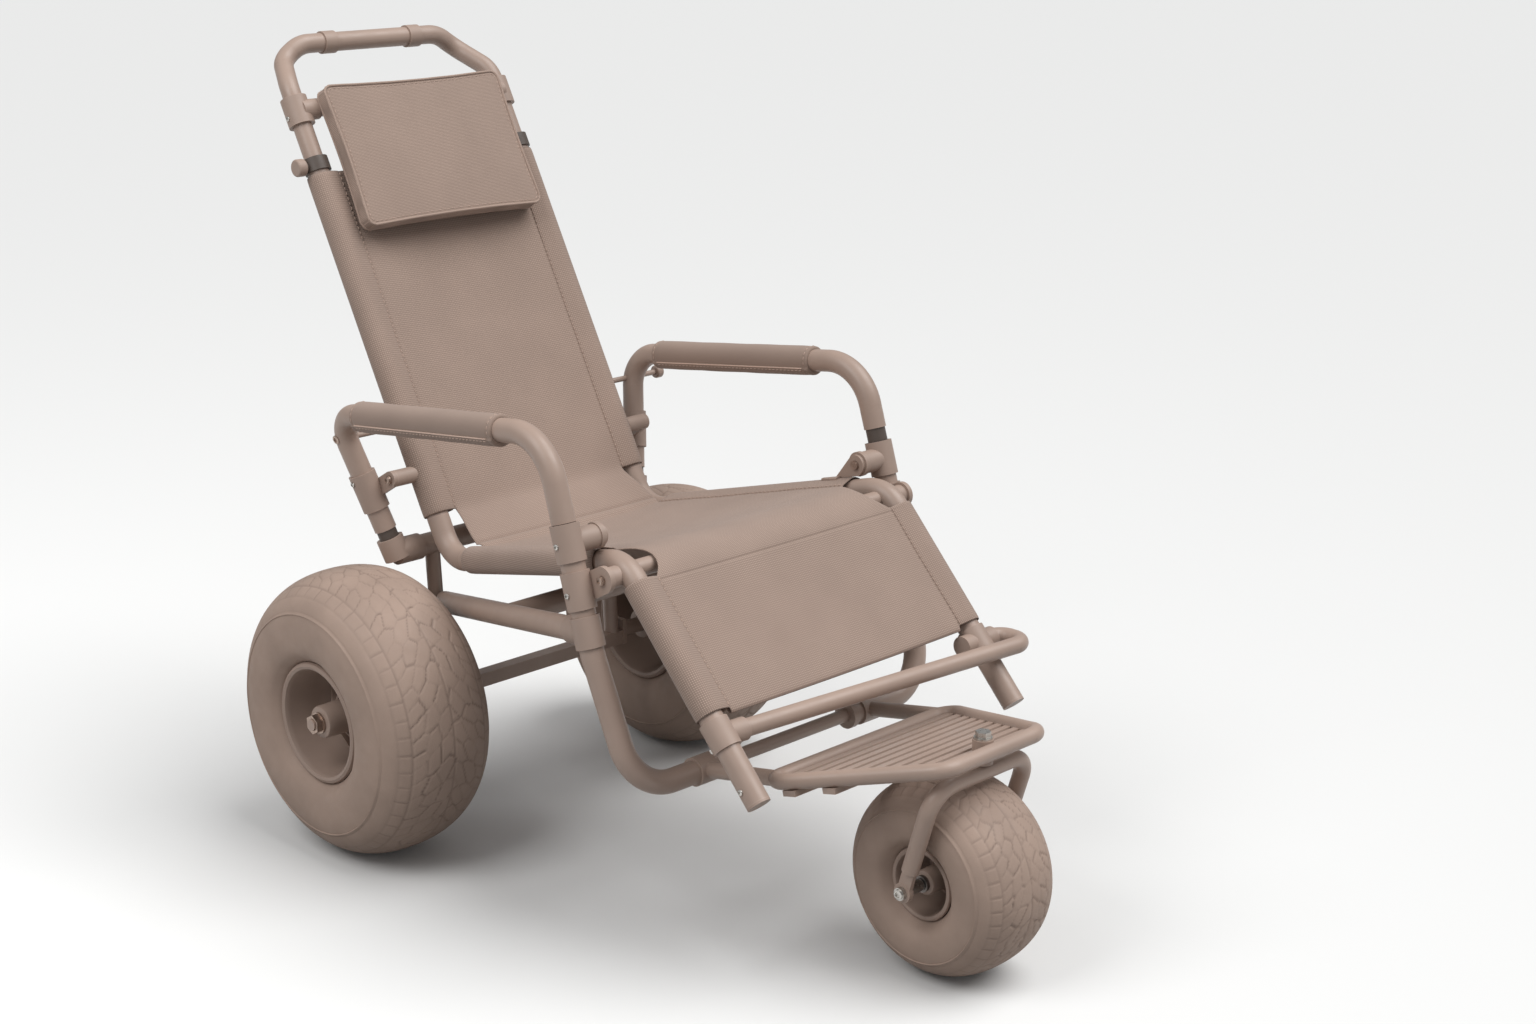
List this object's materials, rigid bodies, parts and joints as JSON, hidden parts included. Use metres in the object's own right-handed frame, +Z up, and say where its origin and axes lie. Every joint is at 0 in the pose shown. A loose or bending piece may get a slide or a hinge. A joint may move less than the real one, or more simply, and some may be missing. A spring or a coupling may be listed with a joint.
{
  "type": "beach wheelchair",
  "caption": "Reclined tube-frame beach wheelchair with a woven sling seat, headrest pillow, sliding push handle, footplate and balloon wheels with a swivelling front wheel.",
  "frame": {"origin": "on the ground under the middle of the overall box, in the mirror plane between the two sides", "axes": "+Z up, -Y the way the chair faces, -X the sitter's right hand side"},
  "size_m": [0.946, 1.5776, 1.3337],
  "materials": {
    "frame_paint": "satin powder coat on aluminium tube",
    "rim_plastic": "moulded, matte",
    "sling_fabric": "woven mesh",
    "tyre_rubber": "matte",
    "dark_fittings": "matte",
    "bright_steel": "satin"
  },
  "bodies": {
    "frame": {"upright_right": "frame_paint", "upright_left": "frame_paint", "lower_cross_rod": "frame_paint", "upper_tees": "frame_paint", "lower_tees": "frame_paint", "base_tees": "frame_paint", "seat_brackets": "frame_paint", "saddles": "frame_paint", "side_rail_right": "frame_paint", "side_rail_left": "frame_paint", "rear_cross_tube": "frame_paint", "middle_cross_tube": "frame_paint", "rear_axle_frame": "frame_paint", "axle_nuts": "bright_steel", "arm_spigots": "dark_fittings", "arm_tube_right": "frame_paint", "arm_tube_left": "frame_paint", "arm_pad_right": "sling_fabric", "arm_pad_left": "sling_fabric", "arm_rear_tees": "frame_paint", "stay_bar": "frame_paint", "back_tube_right": "frame_paint", "back_tube_left": "frame_paint", "elbows": "frame_paint", "seat_leg_tube_right": "frame_paint", "seat_leg_tube_left": "frame_paint", "knee_cross_tube": "frame_paint", "foot_bar": "frame_paint", "leg_tees": "frame_paint", "leg_end_caps": "frame_paint", "sling_back": "sling_fabric", "sling_seat": "sling_fabric", "sling_leg": "sling_fabric", "footplate_frame": "frame_paint", "footplate_grid": "frame_paint", "footplate_arms": "frame_paint", "caster_head": "frame_paint", "set_screws": "bright_steel", "pivot_bolts": "bright_steel", "clamp_collars": "dark_fittings"},
    "handle": {"push_handle": "frame_paint", "handle_collars": "frame_paint", "handle_tees": "frame_paint", "headrest_bar": "frame_paint", "headrest_pillow": "sling_fabric"},
    "clamp_knob": {"clamp_knob": "frame_paint"},
    "stay_knob": {"stay_knob": "frame_paint"},
    "rear_wheel_right": {"rear_tyre_right": "tyre_rubber", "rear_rim_right": "rim_plastic", "rear_bearings_right": "bright_steel"},
    "rear_wheel_left": {"rear_tyre_left": "tyre_rubber", "rear_rim_left": "rim_plastic", "rear_bearings_left": "bright_steel"},
    "caster": {"caster_fork": "frame_paint", "front_axle": "bright_steel", "stem_nut": "bright_steel"},
    "front_wheel": {"front_tyre": "tyre_rubber", "front_rim": "rim_plastic", "front_bearings": "bright_steel"}
  },
  "joints": [
    {"name": "rear_wheel_right_spin", "type": "hinge", "parent": "frame", "child": "rear_wheel_right", "pos_m": [-0.3575, 0.36771, 0.245], "axis": [1, 0, 0], "continuous": true},
    {"name": "rear_wheel_left_spin", "type": "hinge", "parent": "frame", "child": "rear_wheel_left", "pos_m": [0.3575, 0.36771, 0.245], "axis": [1, 0, 0], "continuous": true},
    {"name": "caster_swivel", "type": "hinge", "parent": "frame", "child": "caster", "pos_m": [0, -0.68629, 0.36], "axis": [0, 0, 1], "continuous": true},
    {"name": "front_wheel_spin", "type": "hinge", "parent": "caster", "child": "front_wheel", "pos_m": [0, -0.63129, 0.1575], "axis": [1, 0, 0], "continuous": true},
    {"name": "handle_slide", "type": "slide", "parent": "frame", "child": "handle", "axis": [0, 0.4756, 0.8796], "range_m": [-0.058, 0.12]},
    {"name": "clamp_knob_turn", "type": "hinge", "parent": "frame", "child": "clamp_knob", "pos_m": [-0.243, 0.63431, 1.12207], "axis": [1, 0, 0], "range_deg": [0, 360]},
    {"name": "stay_knob_turn", "type": "hinge", "parent": "frame", "child": "stay_knob", "pos_m": [0.37376, 0.43818, 0.69847], "axis": [1, 0, 0], "range_deg": [0, 360]}
  ]
}
